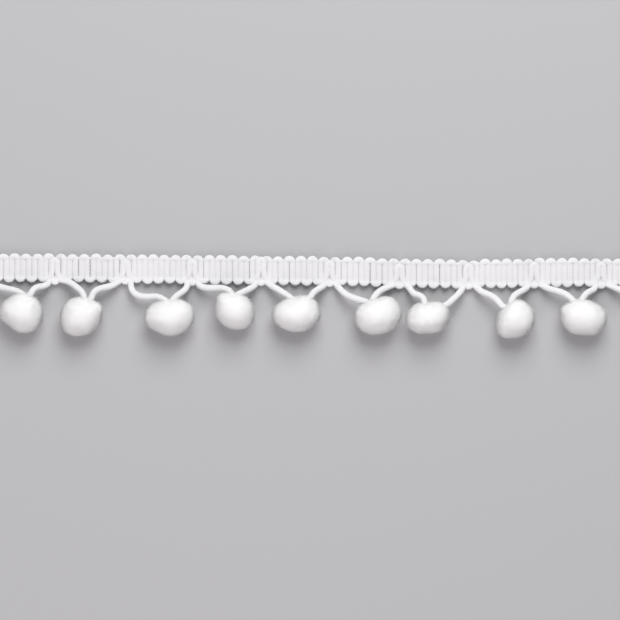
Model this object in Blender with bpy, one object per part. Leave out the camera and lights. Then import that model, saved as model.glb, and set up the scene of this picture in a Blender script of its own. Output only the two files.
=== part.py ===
"""Pompom fringe trim, a cut length lying face up on a flat surface.

The heading is one gimp cord laid up and down in close, flat loops. Every six loops a drop cord
crosses the heading in a narrow loop of its own, lying on the gimp, and runs out below it to a
fluffy pompom on each side. The object's frame has +X along the trim, +Y from the pompoms to the
heading's far edge and +Z up from the surface. The origin is under the middle of the trim.

Every length in the tables below is in millimetres.
"""

import math
import random
from collections import namedtuple

import bmesh
import bpy
from mathutils import Matrix, Vector, noise
from mathutils.bvhtree import BVHTree

MM = 0.001
SEED = 7

# Gimp cord and the heading that it makes
GIMP_WIDTH = 1.4
GIMP_HEIGHT = 1.6
GIMP_PRESSED_HEIGHT = 1.1
PRESSED_REACH = 3.2
HEADING_WIDTH = 8.1
LOOP_PITCH = 3.2
LOOPS_PER_POMPOM = 6
LOOPS_PAST_LAST_DROP = 2
LOBE_STEPS = 5
LOBE_SWELL = 1.08
CREST_UNEVENNESS = 0.15
RUN_UNEVENNESS = 0.05
LOBE_BELOW_DROP = 0.4

# Drop cord
DROP_DIAMETER = 1.7
DROP_LEG_WIDTH = 1.45
DROP_LEG_HEIGHT = 1.3
DROP_LEG_GAP = 1.8
DROP_FEET_APART = 2.4
DROP_CREST_INSET = 0.7
DROP_FOOT_INSET = 1.0
DROP_TURN_STEPS = 4
CURVE_STEP = 0.2
LONGEST_STEP = 1.8
WIDEST_TURN = math.radians(22)
SHORTEST_STEP = 0.5
DROP_HEIGHT_AT_POMPOM = 5.3
ARM_RISE = 0.7
ARM_ENDS_APART = 2.6
STEEPEST_END = 0.6
LONGEST_END = 1.6

# Pompoms
POMPOM_DEPTH = 10.4
POMPOM_SUNK = 0.7
POMPOM_CORE = 0.955
LUMP_DEPTH = 0.035
LUMP_FREQUENCY = 1.9
LUMPS_APART = 3.7
DIMPLE_DEPTH = 0.5
DIMPLE_REACH = 2.4
TUFT_SPREAD = math.radians(16)
LOCK_DIRECTIONS = 40
LOCKS_PER_POMPOM = 28
LOCK_LENGTHS = (0.3, 0.75)
LOCK_LEAN = 0.45
LOCK_INSET = 0.1
LOCK_TIP = 0.4
LOCK_CLEAR_OF_DROP = 2.5
LOCK_LOWEST = 2.2
GOLDEN_ANGLE = math.pi * (3 - math.sqrt(5))

# Moves the tables' points so that the origin is under the middle of the whole trim
TABLES_TO_FRAME = Vector((0.0, 0.25, 0.0))

CLEARANCE = 0.3
END_CLEARANCE = 0.52
LEG_CLEARANCE = 0.4
SECTION_SIDES = 6
# A six-sided section of radius 1 that lies on a flat side is this high from its middle.
SECTION_FLAT = math.cos(math.pi / SECTION_SIDES)

# The heading's middle line, which wanders a little across the trim
LinePoint = namedtuple("LinePoint", "x y")
HEADING_LINE = (
    LinePoint(-102.0, 7.8),
    LinePoint(-75.0, 7.6),
    LinePoint(-47.0, 7.35),
    LinePoint(-30.0, 7.1),
    LinePoint(-8.0, 6.85),
    LinePoint(6.0, 6.7),
    LinePoint(20.0, 6.3),
    LinePoint(34.0, 6.0),
    LinePoint(48.0, 6.1),
    LinePoint(65.0, 6.4),
    LinePoint(82.0, 6.3),
    LinePoint(102.0, 6.1),
)

# Each pompom as it lies: its middle, how far its pile reaches from there to the right, to the upper
# right and so on round by eighths of a turn, and the tufts (degrees, height) that stand out from it.
Pompom = namedtuple("Pompom", "x y reaches tufts")
POMPOMS = (
    Pompom(-85.7, -4.5, (6.1, 5.5, 5.3, 5.1, 6.4, 5.1, 5.8, 6.5), ()),
    Pompom(-68.9, -5.7, (5.7, 5.6, 5.3, 5.5, 6.0, 6.3, 5.5, 5.4), ((22, 0.8),)),
    Pompom(-44.4, -6.2, (7.1, 6.2, 5.1, 5.8, 7.1, 5.2, 5.0, 5.7), ((25, 0.4),)),
    Pompom(-26.2, -4.2, (5.6, 5.0, 5.0, 5.8, 5.5, 5.0, 5.2, 6.0), ((137, 0.4),)),
    Pompom(-9.1, -5.3, (6.8, 6.6, 4.9, 5.2, 6.7, 5.3, 4.8, 5.5), ((350, 0.3),)),
    Pompom(13.7, -5.6, (6.8, 6.6, 4.8, 5.3, 6.5, 6.0, 5.2, 5.7), ()),
    Pompom(27.7, -6.3, (6.3, 5.6, 4.2, 5.1, 5.9, 5.3, 4.1, 5.1), ((196, 0.3), (28, 0.4))),
    Pompom(52.0, -6.6, (5.8, 5.5, 5.3, 4.6, 5.1, 6.0, 5.2, 5.4), ((72, 0.2),)),
    Pompom(71.4, -6.1, (6.5, 5.2, 4.9, 6.0, 6.6, 5.6, 4.9, 6.0), ((160, 0.4),)),
    Pompom(90.7, -5.8, (6.1, 5.6, 5.4, 5.5, 6.1, 5.6, 5.2, 5.8), ()),
)

# Each drop cord: the middle of its loop on the heading, and the points (x, y) that it passes on
# its way up from the pompom on its left and down to the pompom on its right.
DropCord = namedtuple("DropCord", "loop_x from_left to_right")
DROP_CORDS = (
    DropCord(-95.7, (), ((-93.6, 3.3), (-91.8, 2.4), (-89.0, 1.7), (-87.0, 1.2), (-85.6, 0.2))),
    DropCord(
        -76.6,
        ((-82.9, -0.4), (-82.4, 1.4), (-81.2, 2.3), (-79.5, 2.6), (-78.2, 3.5)),
        ((-74.6, 4.3), (-73.1, 4.0), (-71.4, 3.1), (-69.9, 2.0), (-68.6, 0.7), (-68.2, -1.1)),
    ),
    DropCord(
        -56.7,
        ((-66.0, -1.3), (-65.8, 0.0), (-64.9, 1.3), (-63.3, 2.0), (-61.1, 2.5), (-59.4, 3.3)),
        ((-55.2, 2.8), (-54.6, 1.1), (-52.9, -0.1), (-50.3, -0.4), (-47.7, -0.4), (-45.9, -1.4)),
    ),
    DropCord(
        -38.1,
        ((-43.3, -1.9), (-42.2, -0.1), (-40.5, 1.1), (-39.4, 2.6)),
        ((-36.0, 2.7), (-33.9, 2.1), (-30.6, 2.1), (-29.1, 1.9), (-27.9, 1.3)),
    ),
    DropCord(
        -18.8,
        ((-24.6, 0.0), (-22.5, 1.5), (-20.6, 2.7)),
        ((-16.0, 2.8), (-13.4, 1.3), (-11.3, -0.1), (-9.8, -1.3)),
    ),
    DropCord(
        0.4,
        ((-5.3, -1.0), (-4.2, 0.6), (-2.7, 1.8), (-1.1, 2.8)),
        ((3.3, 1.8), (5.3, 0.1), (7.9, -1.0), (10.0, -1.9)),
    ),
    DropCord(
        20.0,
        ((12.9, -1.3), (13.3, 0.1), (14.7, 1.4), (16.6, 2.2), (18.4, 3.0)),
        ((22.5, 2.4), (24.0, 0.5), (25.5, 0.0), (26.7, -1.0), (27.1, -2.8)),
    ),
    DropCord(
        39.4,
        ((32.4, -3.0), (34.8, -1.2), (36.5, 0.4), (37.7, 2.0)),
        ((41.3, 2.6), (43.0, 1.0), (45.2, 0.1), (47.2, -1.3), (48.4, -3.5)),
    ),
    DropCord(
        57.8,
        ((51.5, -1.5), (51.9, -0.2), (53.4, 0.8), (55.4, 1.9)),
        ((61.4, 2.0), (64.5, 1.1), (66.8, 0.0), (68.2, -1.8)),
    ),
    DropCord(
        76.5,
        ((71.0, -1.9), (71.4, -0.4), (72.5, 0.7), (74.5, 1.8)),
        ((79.4, 2.6), (81.8, 1.5), (85.1, 0.5), (87.5, -0.2), (88.7, -1.3)),
    ),
    DropCord(95.7, ((91.7, -1.3), (92.3, 0.2), (93.3, 1.4), (94.3, 2.5)), ()),
)

Station = namedtuple("Station", "x y z width height")


def clear_scene():
    """Removes whatever the scene holds."""
    for obj in list(bpy.data.objects):
        bpy.data.objects.remove(obj)


def yarn_material(name, colour, roughness):
    """A plain matte yarn finish."""
    material = bpy.data.materials.new(name)
    material.use_nodes = True
    shader = material.node_tree.nodes["Principled BSDF"]
    shader.inputs["Base Color"].default_value = (*colour, 1.0)
    shader.inputs["Roughness"].default_value = roughness
    shader.inputs["Metallic"].default_value = 0.0
    return material


def add_object(name, bm, material):
    """Turns a mesh drawn in millimetres into a named object in metres."""
    bmesh.ops.recalc_face_normals(bm, faces=bm.faces)
    bmesh.ops.translate(bm, vec=TABLES_TO_FRAME, verts=bm.verts)
    bmesh.ops.scale(bm, vec=(MM, MM, MM), verts=bm.verts)
    mesh = bpy.data.meshes.new(name)
    bm.to_mesh(mesh)
    bm.free()
    mesh.materials.append(material)
    obj = bpy.data.objects.new(name, mesh)
    bpy.context.scene.collection.objects.link(obj)
    return obj


def heading_middle(x):
    """The y of the heading's middle line at x, eased between its points."""
    for near, far in zip(HEADING_LINE, HEADING_LINE[1:]):
        if x <= far.x:
            break
    share = min(1.0, max(0.0, (x - near.x) / (far.x - near.x)))
    eased = share * share * (3 - 2 * share)
    return near.y + (far.y - near.y) * eased


def gimp_height(x):
    """How thick the gimp lies at x. It is pressed down under each drop cord's loop."""
    nearest = min(abs(x - drop.loop_x) for drop in DROP_CORDS)
    pressed = math.exp(-((nearest / PRESSED_REACH) ** 4))
    return GIMP_HEIGHT - (GIMP_HEIGHT - GIMP_PRESSED_HEIGHT) * pressed


def lobe_places():
    """The x of every lobe from left to right, lower and upper ones in turn. A lower one comes first,
    and one lies under every drop cord's loop."""
    lower = []
    first, last = DROP_CORDS[0].loop_x, DROP_CORDS[-1].loop_x
    for count in range(LOOPS_PAST_LAST_DROP, 0, -1):
        lower.append(first - count * LOOP_PITCH)
    for drop, following in zip(DROP_CORDS, DROP_CORDS[1:]):
        pitch = (following.loop_x - drop.loop_x) / LOOPS_PER_POMPOM
        lower.extend(drop.loop_x + count * pitch for count in range(LOOPS_PER_POMPOM))
    for count in range(LOOPS_PAST_LAST_DROP + 1):
        lower.append(last + count * LOOP_PITCH)
    places = []
    for place, following in zip(lower, lower[1:]):
        places.extend((place, (place + following) / 2))
    return places + lower[-1:]


def gimp_stations():
    """The gimp cord's way through the heading: up a run, round a lobe, down the next run."""
    uneven = random.Random(SEED)
    lobes = lobe_places()
    runs = [
        (lobe + following) / 2 + uneven.uniform(-RUN_UNEVENNESS, RUN_UNEVENNESS)
        for lobe, following in zip(lobes, lobes[1:])
    ]
    half = HEADING_WIDTH / 2 - GIMP_WIDTH / 2

    def station(x, y, width=GIMP_WIDTH):
        height = gimp_height(x)
        return Station(x, y, height / 2, width, height)

    stations = [station(runs[0], heading_middle(runs[0]) - half)]
    for index, (run, following) in enumerate(zip(runs, runs[1:])):
        side = 1 if index % 2 == 0 else -1
        middle_x, radius = (run + following) / 2, (following - run) / 2
        under_drop = side < 0 and any(abs(lobes[index + 1] - d.loop_x) < MM for d in DROP_CORDS)
        reach = half - radius + uneven.uniform(-CREST_UNEVENNESS, CREST_UNEVENNESS)
        if under_drop:
            reach += LOBE_BELOW_DROP
        middle_y = heading_middle(middle_x) + side * reach
        for step in range(LOBE_STEPS + 1):
            turn = math.pi * step / LOBE_STEPS
            swell = 1 + (LOBE_SWELL - 1) * math.sin(turn)
            x = middle_x - radius * math.cos(turn)
            y = middle_y + side * radius * math.sin(turn)
            stations.append(station(x, y, GIMP_WIDTH * swell))
    side = 1 if len(runs) % 2 else -1
    stations.append(station(runs[-1], heading_middle(runs[-1]) + side * half))
    return stations


def travel_along(stations):
    """The direction of travel at each station."""
    points = [Vector((s.x, s.y, s.z)) for s in stations]
    ahead = [(b - a).normalized() for a, b in zip(points, points[1:])]
    middle = [(a + b).normalized() for a, b in zip(ahead, ahead[1:])]
    return [ahead[0], *middle, ahead[-1]]


def section_matrix(station, travel):
    """Places a flat circle of radius 1 as the cord's section, square to its travel and lying level."""
    sideways = travel.cross(Vector((0, 0, 1))).normalized()
    upwards = sideways.cross(travel)
    scaled = Matrix.Diagonal((station.width / 2, station.height / 2 / SECTION_FLAT, 1, 1))
    turned = Matrix((sideways, upwards, -travel)).transposed().to_4x4()
    return Matrix.Translation((station.x, station.y, station.z)) @ turned @ scaled


def swept_cord(stations):
    """A closed cord through the stations, made of one ring for each, bridged to the next."""
    bm = bmesh.new()
    rings = []
    for station, travel in zip(stations, travel_along(stations)):
        made = bmesh.ops.create_circle(
            bm,
            segments=SECTION_SIDES,
            radius=1.0,
            matrix=section_matrix(station, travel) @ Matrix.Rotation(math.pi / 2, 4, "Z"),
        )
        rings.append(made["verts"])
    for ring, following in zip(rings, rings[1:]):
        edges = {e for v in ring + following for e in v.link_edges}
        own = [e for e in edges if any(set(e.verts) <= set(r) for r in (ring, following))]
        bmesh.ops.bridge_loops(bm, edges=own)
    for ring in (rings[0], rings[-1]):
        bmesh.ops.contextual_create(bm, geom=ring)
    return bm, rings


def catmull_rom(four, share):
    """The value a share of the way from the second to the third of four values, on a smooth curve
    through them all."""
    a, b, c, d = four
    squared, cubed = share**2, share**3
    return 0.5 * (
        2 * b
        + (c - a) * share
        + (2 * a - 5 * b + 4 * c - d) * squared
        + (3 * b - 3 * c + d - a) * cubed
    )


def smoothed(stations):
    """Closely set stations on a smooth curve through the given ones."""
    padded = [stations[0], *stations, stations[-1]]
    curve = []
    for before, start, end, after in zip(padded, padded[1:], padded[2:], padded[3:]):
        count = math.ceil(math.dist(start[:3], end[:3]) / CURVE_STEP)
        for step in range(count):
            fields = zip(before, start, end, after)
            curve.append(Station(*(catmull_rom(four, step / count) for four in fields)))
    return curve + [stations[-1]]


def thinned(curve):
    """The stations of a curve that a faceted cord needs: one after each bend or long step."""
    directions = travel_along(curve)
    kept, facing = [curve[0]], directions[0]
    for station, direction in zip(curve[1:-1], directions[1:-1]):
        gone = math.dist(kept[-1][:3], station[:3])
        bent = direction.angle(facing) > WIDEST_TURN
        if gone > LONGEST_STEP or (bent and gone > SHORTEST_STEP):
            kept.append(station)
            facing = direction
    if math.dist(kept[-1][:3], curve[-1][:3]) < SHORTEST_STEP:
        kept.pop()
    return kept + [curve[-1]]


def arm_stations(foot, points, pompom):
    """The drop cord's arm from the foot of its leg to the middle of the pompom. It keeps to its own
    side of the middle, beside the arm that comes in from the other side."""
    side = 1 if foot.x > pompom.x else -1
    inside = Vector((pompom.x + side * ARM_ENDS_APART / 2, pompom.y))
    way = [Vector((foot.x, foot.y)), *map(Vector, points), inside]
    lengths = [(b - a).length for a, b in zip(way, way[1:])]
    outside = sum(lengths[:-1])
    stations, gone = [], 0.0
    for point, length in zip(way[1:], lengths):
        gone += length
        rise = min(1.0, gone / outside) ** ARM_RISE
        z = foot.z + (DROP_HEIGHT_AT_POMPOM - foot.z) * rise
        stations.append(Station(*point, z, DROP_DIAMETER, DROP_DIAMETER))
    return stations


def leg_stations(drop):
    """The drop cord's narrow loop on the heading, from the foot of its left leg to its right one."""
    radius = DROP_LEG_GAP / 2
    middle = heading_middle(drop.loop_x)
    foot = middle - HEADING_WIDTH / 2 + DROP_FOOT_INSET
    crest = middle + HEADING_WIDTH / 2 - DROP_CREST_INSET - DROP_LEG_WIDTH / 2 - radius
    z = GIMP_PRESSED_HEIGHT + LEG_CLEARANCE + DROP_LEG_HEIGHT / 2
    places = [(-DROP_FEET_APART / 2, foot)]
    for step in range(DROP_TURN_STEPS + 1):
        turn = math.pi * step / DROP_TURN_STEPS
        places.append((-radius * math.cos(turn), crest + radius * math.sin(turn)))
    places.append((DROP_FEET_APART / 2, foot))
    return [
        Station(drop.loop_x + x, y, z, DROP_LEG_WIDTH, DROP_LEG_HEIGHT) for x, y in places
    ]


def drop_way(drop, left, right):
    """The whole drop cord, from inside the pompom on its left to inside the one on its right. At a
    cut end of the trim it stops at the heading's edge."""
    legs = leg_stations(drop)
    edge = heading_middle(drop.loop_x) - HEADING_WIDTH / 2
    stations = list(legs)
    if left:
        stations = arm_stations(legs[0], drop.from_left[::-1], left)[::-1] + stations
    else:
        stations.insert(0, legs[0]._replace(y=edge))
    if right:
        stations += arm_stations(legs[-1], drop.to_right, right)
    else:
        stations.append(legs[-1]._replace(y=edge))
    return smoothed(stations)


def touches(station, pile):
    """Whether the drop cord would touch the pompom's core at a station on its way."""
    place = Vector(station[:3])
    nearest, normal, _, distance = pile.ball.find_nearest(place)
    return distance < DROP_DIAMETER / 2 + CLEARANCE or (place - nearest).dot(normal) < 0


def fit_end(ring, travel, pile):
    """Carries a cord's last ring on along its travel until it stops just short of the core."""
    for vert in ring:
        place, normal, _, distance = pile.ball.ray_cast(vert.co, travel)
        if place is not None:
            squareness = max(STEEPEST_END, abs(travel.dot(normal)))
            vert.co += travel * min(LONGEST_END, distance - END_CLEARANCE / squareness)


def drop_cord(way, left, right):
    """A drop cord whose ends stop just short of the pompoms that they run into."""
    middle = len(way) // 2
    before = [s for s in way[:middle] if not (left and touches(s, left))]
    after = [s for s in way[middle:] if not (right and touches(s, right))]
    curve = before + after
    bm, rings = swept_cord(thinned(curve))
    directions = travel_along(curve)
    if left:
        fit_end(rings[0], -directions[0], left)
    if right:
        fit_end(rings[-1], directions[-1], right)
    return bm


# A pompom's mesh and the surface of its core
Pile = namedtuple("Pile", "bm ball")


def pompom_middle(pompom):
    """The middle of the ball that the pompom lies on the surface as."""
    return Vector((pompom.x, pompom.y, POMPOM_DEPTH / 2 - POMPOM_SUNK))


def pile_reach(direction, pompom):
    """How far the pompom's pile reaches towards a direction's side of it, seen from above."""
    around = math.atan2(direction.y, direction.x) % math.tau
    eighths = around / (math.tau / 8)
    first = int(eighths)
    four = [pompom.reaches[(first + step) % 8] for step in (-1, 0, 1, 2)]
    reach = catmull_rom(four, eighths - first)
    for degrees, height in pompom.tufts:
        apart = (around - math.radians(degrees) + math.pi) % math.tau - math.pi
        reach += height * math.exp(-((apart / TUFT_SPREAD) ** 2))
    return reach


def shape_core(bm, pompom, entries, offset):
    """Turns a ball of radius 1 into the pompom's core, dimpled at its cord and flat underneath."""
    middle = pompom_middle(pompom)
    for vert in bm.verts:
        direction = vert.co.normalized()
        reach = pile_reach(direction, pompom)
        lumps = LUMP_DEPTH * noise.noise(direction * LUMP_FREQUENCY + offset)
        half = Vector((reach, reach, POMPOM_DEPTH / 2))
        place = middle + direction * half * POMPOM_CORE * (1 + lumps)
        for entry in entries:
            near = math.exp(-(((place - entry).length / DIMPLE_REACH) ** 2))
            place += (middle - place).normalized() * DIMPLE_DEPTH * near
        place.z = max(0.0, place.z)
        vert.co = place


def lock_faces(bm, middle, cords, start):
    """Faces spread evenly over the pompom from a starting angle, clear of its cords and of the
    surface that it lies on."""
    places = {face: face.calc_center_median() for face in bm.faces}
    outward = {face: (place - middle).normalized() for face, place in places.items()}
    chosen = []
    for index in range(LOCK_DIRECTIONS):
        up = 1 - (2 * index + 1) / LOCK_DIRECTIONS
        flat = math.sqrt(1 - up * up)
        around = start + GOLDEN_ANGLE * index
        direction = Vector((flat * math.cos(around), flat * math.sin(around), up))
        face = max(outward, key=lambda f: outward[f].dot(direction))
        clear = all((places[face] - Vector(s[:3])).length > LOCK_CLEAR_OF_DROP for s in cords)
        if clear and places[face].z > LOCK_LOWEST and face not in chosen:
            chosen.append(face)
    return chosen[:LOCKS_PER_POMPOM]


def raise_locks(bm, middle, cords, uneven):
    """Draws a three-sided lock of pile out of each chosen face, each a little its own way."""
    faces = lock_faces(bm, middle, cords, uneven.uniform(0, math.tau))
    bmesh.ops.inset_individual(bm, faces=faces, thickness=LOCK_INSET, use_even_offset=True)
    for face in faces:
        root = face.calc_center_median()
        lean = Vector([uneven.uniform(-LOCK_LEAN, LOCK_LEAN) for _ in range(3)])
        tip = root + ((root - middle).normalized() + lean) * uneven.uniform(*LOCK_LENGTHS)
        for vert in face.verts:
            vert.co = tip + (vert.co - root) * LOCK_TIP


def shape_pompom(index, cords):
    """A pompom's mesh, with the plain core's surface that its cords stop at."""
    pompom = POMPOMS[index]
    ends = (DROP_CORDS[index].to_right[-1], DROP_CORDS[index + 1].from_left[0])
    entries = [Vector((*end, DROP_HEIGHT_AT_POMPOM)) for end in ends]
    bm = bmesh.new()
    bmesh.ops.create_icosphere(bm, subdivisions=3, radius=1.0)
    shape_core(bm, pompom, entries, Vector((index * LUMPS_APART, SEED, 0)))
    ball = BVHTree.FromBMesh(bm)
    raise_locks(bm, pompom_middle(pompom), cords, random.Random(SEED + index))
    return Pile(bm, ball)


def main():
    """Builds the heading, the pompoms and the drop cords that join them."""
    clear_scene()
    gimp_yarn = yarn_material("gimp_yarn", (0.90, 0.90, 0.91), 0.85)
    drop_yarn = yarn_material("drop_yarn", (0.92, 0.92, 0.93), 0.85)
    pile = yarn_material("pile", (0.94, 0.94, 0.94), 0.95)

    heading, _ = swept_cord(gimp_stations())
    add_object("heading", heading, gimp_yarn)

    sides = [None, *POMPOMS, None]
    ways = [drop_way(*row) for row in zip(DROP_CORDS, sides, sides[1:])]
    pompoms = [shape_pompom(index, ways[index] + ways[index + 1]) for index in range(len(POMPOMS))]
    piles = [None, *pompoms, None]
    for number, row in enumerate(zip(ways, piles, piles[1:]), start=1):
        add_object(f"drop_cord_{number:02d}", drop_cord(*row), drop_yarn)
    for number, pompom in enumerate(pompoms, start=1):
        add_object(f"pompom_{number:02d}", pompom.bm, pile)


main()
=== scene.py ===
"""Looks of a white pompom fringe trim, lying face up on a pale surface.

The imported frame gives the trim's place and size. This script lays the gimp cord, its ground threads
and the drop cords along the same routes as the solids, and covers the pompoms in pile. Lengths in the
tables and in the fields are in millimetres, and a mesh is brought to metres when it is finished.
"""

import logging
import math
import random
from collections.abc import Callable, Iterable, Sequence
from dataclasses import dataclass
from enum import Enum
from typing import NamedTuple

import bmesh
import bpy
from mathutils import Matrix, Vector, noise


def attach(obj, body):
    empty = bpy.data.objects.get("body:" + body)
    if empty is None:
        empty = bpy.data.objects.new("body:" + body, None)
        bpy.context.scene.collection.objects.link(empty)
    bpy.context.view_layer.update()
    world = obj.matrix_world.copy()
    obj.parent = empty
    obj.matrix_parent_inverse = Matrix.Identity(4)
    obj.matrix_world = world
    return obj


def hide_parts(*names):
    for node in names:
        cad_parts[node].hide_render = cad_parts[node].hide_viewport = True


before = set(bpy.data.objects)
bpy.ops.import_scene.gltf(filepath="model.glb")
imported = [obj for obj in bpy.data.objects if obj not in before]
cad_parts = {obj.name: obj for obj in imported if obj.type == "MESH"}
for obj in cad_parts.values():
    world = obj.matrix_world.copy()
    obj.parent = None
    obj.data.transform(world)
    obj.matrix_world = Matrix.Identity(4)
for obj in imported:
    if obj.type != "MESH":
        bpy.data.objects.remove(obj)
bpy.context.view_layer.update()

LOG = logging.getLogger("trim")
MM = 0.001
BODY = "root"
SEED = 7
EIGHTHS = 8
SAME_PLACE = 0.001
FAR_OFF = 1e6
FINER_STEPS = 4

# How much of a yarn's mottling its fine fibres make; this part follows their relief and is painted shade in
# its dips, the rest is uneven patches
FINE_PART = 0.45

# Blender's numbers for the sockets of a Mix node
COLOUR_MIX = (6, 7, 2)
VECTOR_MIX = (4, 5, 1)

# Moves the tables' points so that the frame's origin is under the middle of the whole trim
TABLES_TO_FRAME = Vector((0.0, 0.25, 0.0))


class LinePoint(NamedTuple):
    """A point on the heading's middle line."""

    x: float
    y: float


HEADING_LINE = (
    LinePoint(-102.0, 7.8),
    LinePoint(-75.0, 7.6),
    LinePoint(-47.0, 7.35),
    LinePoint(-30.0, 7.1),
    LinePoint(-8.0, 6.85),
    LinePoint(6.0, 6.7),
    LinePoint(20.0, 6.3),
    LinePoint(34.0, 6.0),
    LinePoint(48.0, 6.1),
    LinePoint(65.0, 6.4),
    LinePoint(82.0, 6.3),
    LinePoint(102.0, 6.1),
)


class PompomRow(NamedTuple):
    """A pompom as it lies: its middle, how far its pile reaches from there to the right and so on
    round by eighths of a turn, and the tufts (degrees, height) that stand out from it."""

    x: float
    y: float
    reaches: tuple[float, ...]
    tufts: tuple[tuple[float, float], ...]


POMPOM_ROWS = (
    PompomRow(-85.7, -4.5, (6.1, 5.5, 5.3, 5.1, 6.4, 5.1, 5.8, 6.5), ()),
    PompomRow(-68.9, -5.7, (5.7, 5.6, 5.3, 5.5, 6.0, 6.3, 5.5, 5.4), ((22, 0.8),)),
    PompomRow(-44.4, -6.2, (7.1, 6.2, 5.1, 5.8, 7.1, 5.2, 5.0, 5.7), ((25, 0.4),)),
    PompomRow(-26.2, -4.2, (5.6, 5.0, 5.0, 5.8, 5.5, 5.0, 5.2, 6.0), ((137, 0.4),)),
    PompomRow(-9.1, -5.3, (6.8, 6.6, 4.9, 5.2, 6.7, 5.3, 4.8, 5.5), ((350, 0.3),)),
    PompomRow(13.7, -5.6, (6.8, 6.6, 4.8, 5.3, 6.5, 6.0, 5.2, 5.7), ()),
    PompomRow(27.7, -6.3, (6.3, 5.6, 4.2, 5.1, 5.9, 5.3, 4.1, 5.1), ((196, 0.3), (28, 0.4))),
    PompomRow(52.0, -6.6, (5.8, 5.5, 5.3, 4.6, 5.1, 6.0, 5.2, 5.4), ((72, 0.2),)),
    PompomRow(71.4, -6.1, (6.5, 5.2, 4.9, 6.0, 6.6, 5.6, 4.9, 6.0), ((160, 0.4),)),
    PompomRow(90.7, -5.8, (6.1, 5.6, 5.4, 5.5, 6.1, 5.6, 5.2, 5.8), ()),
)


class DropRow(NamedTuple):
    """A drop cord: the middle of its loop, what it passes on each side of the loop, how much higher
    the gimp's lobes stand there and how far its loop's crest stays inside the heading's edge."""

    loop_x: float
    from_left: tuple[tuple[float, float], ...]
    to_right: tuple[tuple[float, float], ...]
    lobe_lift: float = 0.0
    crest_inset: float = 0.85


DROP_ROWS = (
    DropRow(-95.7, (), ((-93.6, 3.3), (-91.8, 2.4), (-89.0, 1.7), (-87.0, 1.2), (-85.6, 0.2))),
    DropRow(
        -76.6,
        ((-82.9, -0.4), (-82.4, 1.4), (-81.2, 2.3), (-79.5, 2.6), (-78.2, 3.5)),
        ((-74.6, 4.3), (-73.1, 4.0), (-71.4, 3.1), (-69.9, 2.0), (-68.6, 0.7), (-68.2, -1.1)),
    ),
    DropRow(
        -56.7,
        ((-66.0, -1.3), (-65.8, 0.0), (-64.9, 1.3), (-63.3, 2.0), (-61.1, 2.5), (-59.4, 3.3)),
        ((-55.2, 2.8), (-54.6, 1.1), (-52.9, -0.1), (-50.3, -0.4), (-47.7, -0.4), (-45.9, -1.4)),
        crest_inset=1.2,
    ),
    DropRow(
        -38.1,
        ((-43.3, -1.9), (-42.2, -0.1), (-40.5, 1.1), (-39.4, 2.6)),
        ((-36.0, 2.7), (-33.9, 2.1), (-30.6, 2.1), (-29.1, 1.9), (-27.9, 1.3)),
    ),
    DropRow(
        -18.8,
        ((-24.6, 0.0), (-22.5, 1.5), (-20.6, 2.7)),
        ((-16.0, 2.8), (-13.4, 1.3), (-11.3, -0.1), (-9.8, -1.3)),
        lobe_lift=0.25,
        crest_inset=0.05,
    ),
    DropRow(
        0.4,
        ((-5.3, -1.0), (-4.2, 0.6), (-2.7, 1.8), (-1.1, 2.8)),
        ((3.3, 1.8), (5.3, 0.1), (7.9, -1.0), (10.0, -1.9)),
    ),
    DropRow(
        20.0,
        ((12.9, -1.3), (13.3, 0.1), (14.7, 1.4), (16.6, 2.2), (18.4, 3.0)),
        ((22.5, 2.4), (24.0, 0.5), (25.5, 0.0), (26.7, -1.0), (27.1, -2.8)),
        lobe_lift=-0.3,
        crest_inset=1.3,
    ),
    DropRow(
        39.4,
        ((32.4, -3.0), (34.8, -1.2), (36.5, 0.4), (37.7, 2.0)),
        ((41.3, 2.6), (43.0, 1.0), (45.2, 0.1), (47.2, -1.3), (48.4, -3.5)),
        lobe_lift=-0.45,
        crest_inset=1.0,
    ),
    DropRow(
        57.8,
        ((51.5, -1.5), (51.9, -0.2), (53.4, 0.8), (55.4, 1.9)),
        ((61.4, 2.0), (64.5, 1.1), (66.8, 0.0), (68.2, -1.8)),
    ),
    DropRow(
        76.5,
        ((71.0, -1.9), (71.4, -0.4), (72.5, 0.7), (74.5, 1.8)),
        ((79.4, 2.6), (81.8, 1.5), (85.1, 0.5), (87.5, -0.2), (88.7, -1.3)),
    ),
    DropRow(95.7, ((91.7, -1.3), (92.3, 0.2), (93.3, 1.4), (94.3, 2.5)), ()),
)


class Slot(Enum):
    """The record's material slots."""

    HEADING_CORD = "heading_cord"
    DROP_CORD = "drop_cord"
    POMPOM = "pompom"


class Edge(Enum):
    """The two long edges of the heading, by their side of its middle line."""

    UPPER = 1
    LOWER = -1


class RoutePoint(NamedTuple):
    """A point on a cord's way, with how thick the cord is there as a share of its usual size."""

    x: float
    y: float
    z: float
    girth: float


def heading_middle(x: float) -> float:
    """Gives the y of the heading's middle line at x, eased between its points.

    Args:
        x: Place along the trim.

    Returns:
        The middle line's y.
    """
    for near, far in zip(HEADING_LINE, HEADING_LINE[1:]):
        if x <= far.x:
            break
    return near.y + (far.y - near.y) * eased((x - near.x) / (far.x - near.x))


def nearest_drop(x: float) -> tuple[float, DropRow]:
    """Finds the drop cord whose loop is nearest to x.

    Args:
        x: Place along the trim.

    Returns:
        The distance to the loop's middle, and the drop cord's row.
    """
    row = min(DROP_ROWS, key=lambda drop: abs(x - drop.loop_x))
    return abs(x - row.loop_x), row


def eased(value: float) -> float:
    """Eases a value between 0 and 1, and holds it there outside."""
    share = min(1.0, max(0.0, value))
    return share * share * (3 - 2 * share)


def smooth_between(four: Sequence[float], share: float) -> float:
    """Reads a smooth curve through four values.

    Args:
        four: The values.
        share: How far from the second value to the third, from 0 to 1.

    Returns:
        The value there.
    """
    a, b, c, d = four
    bend = (2 * a - 5 * b + 4 * c - d) * share**2
    twist = (3 * b - 3 * c + d - a) * share**3
    return 0.5 * (2 * b + (c - a) * share + bend + twist)


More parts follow.
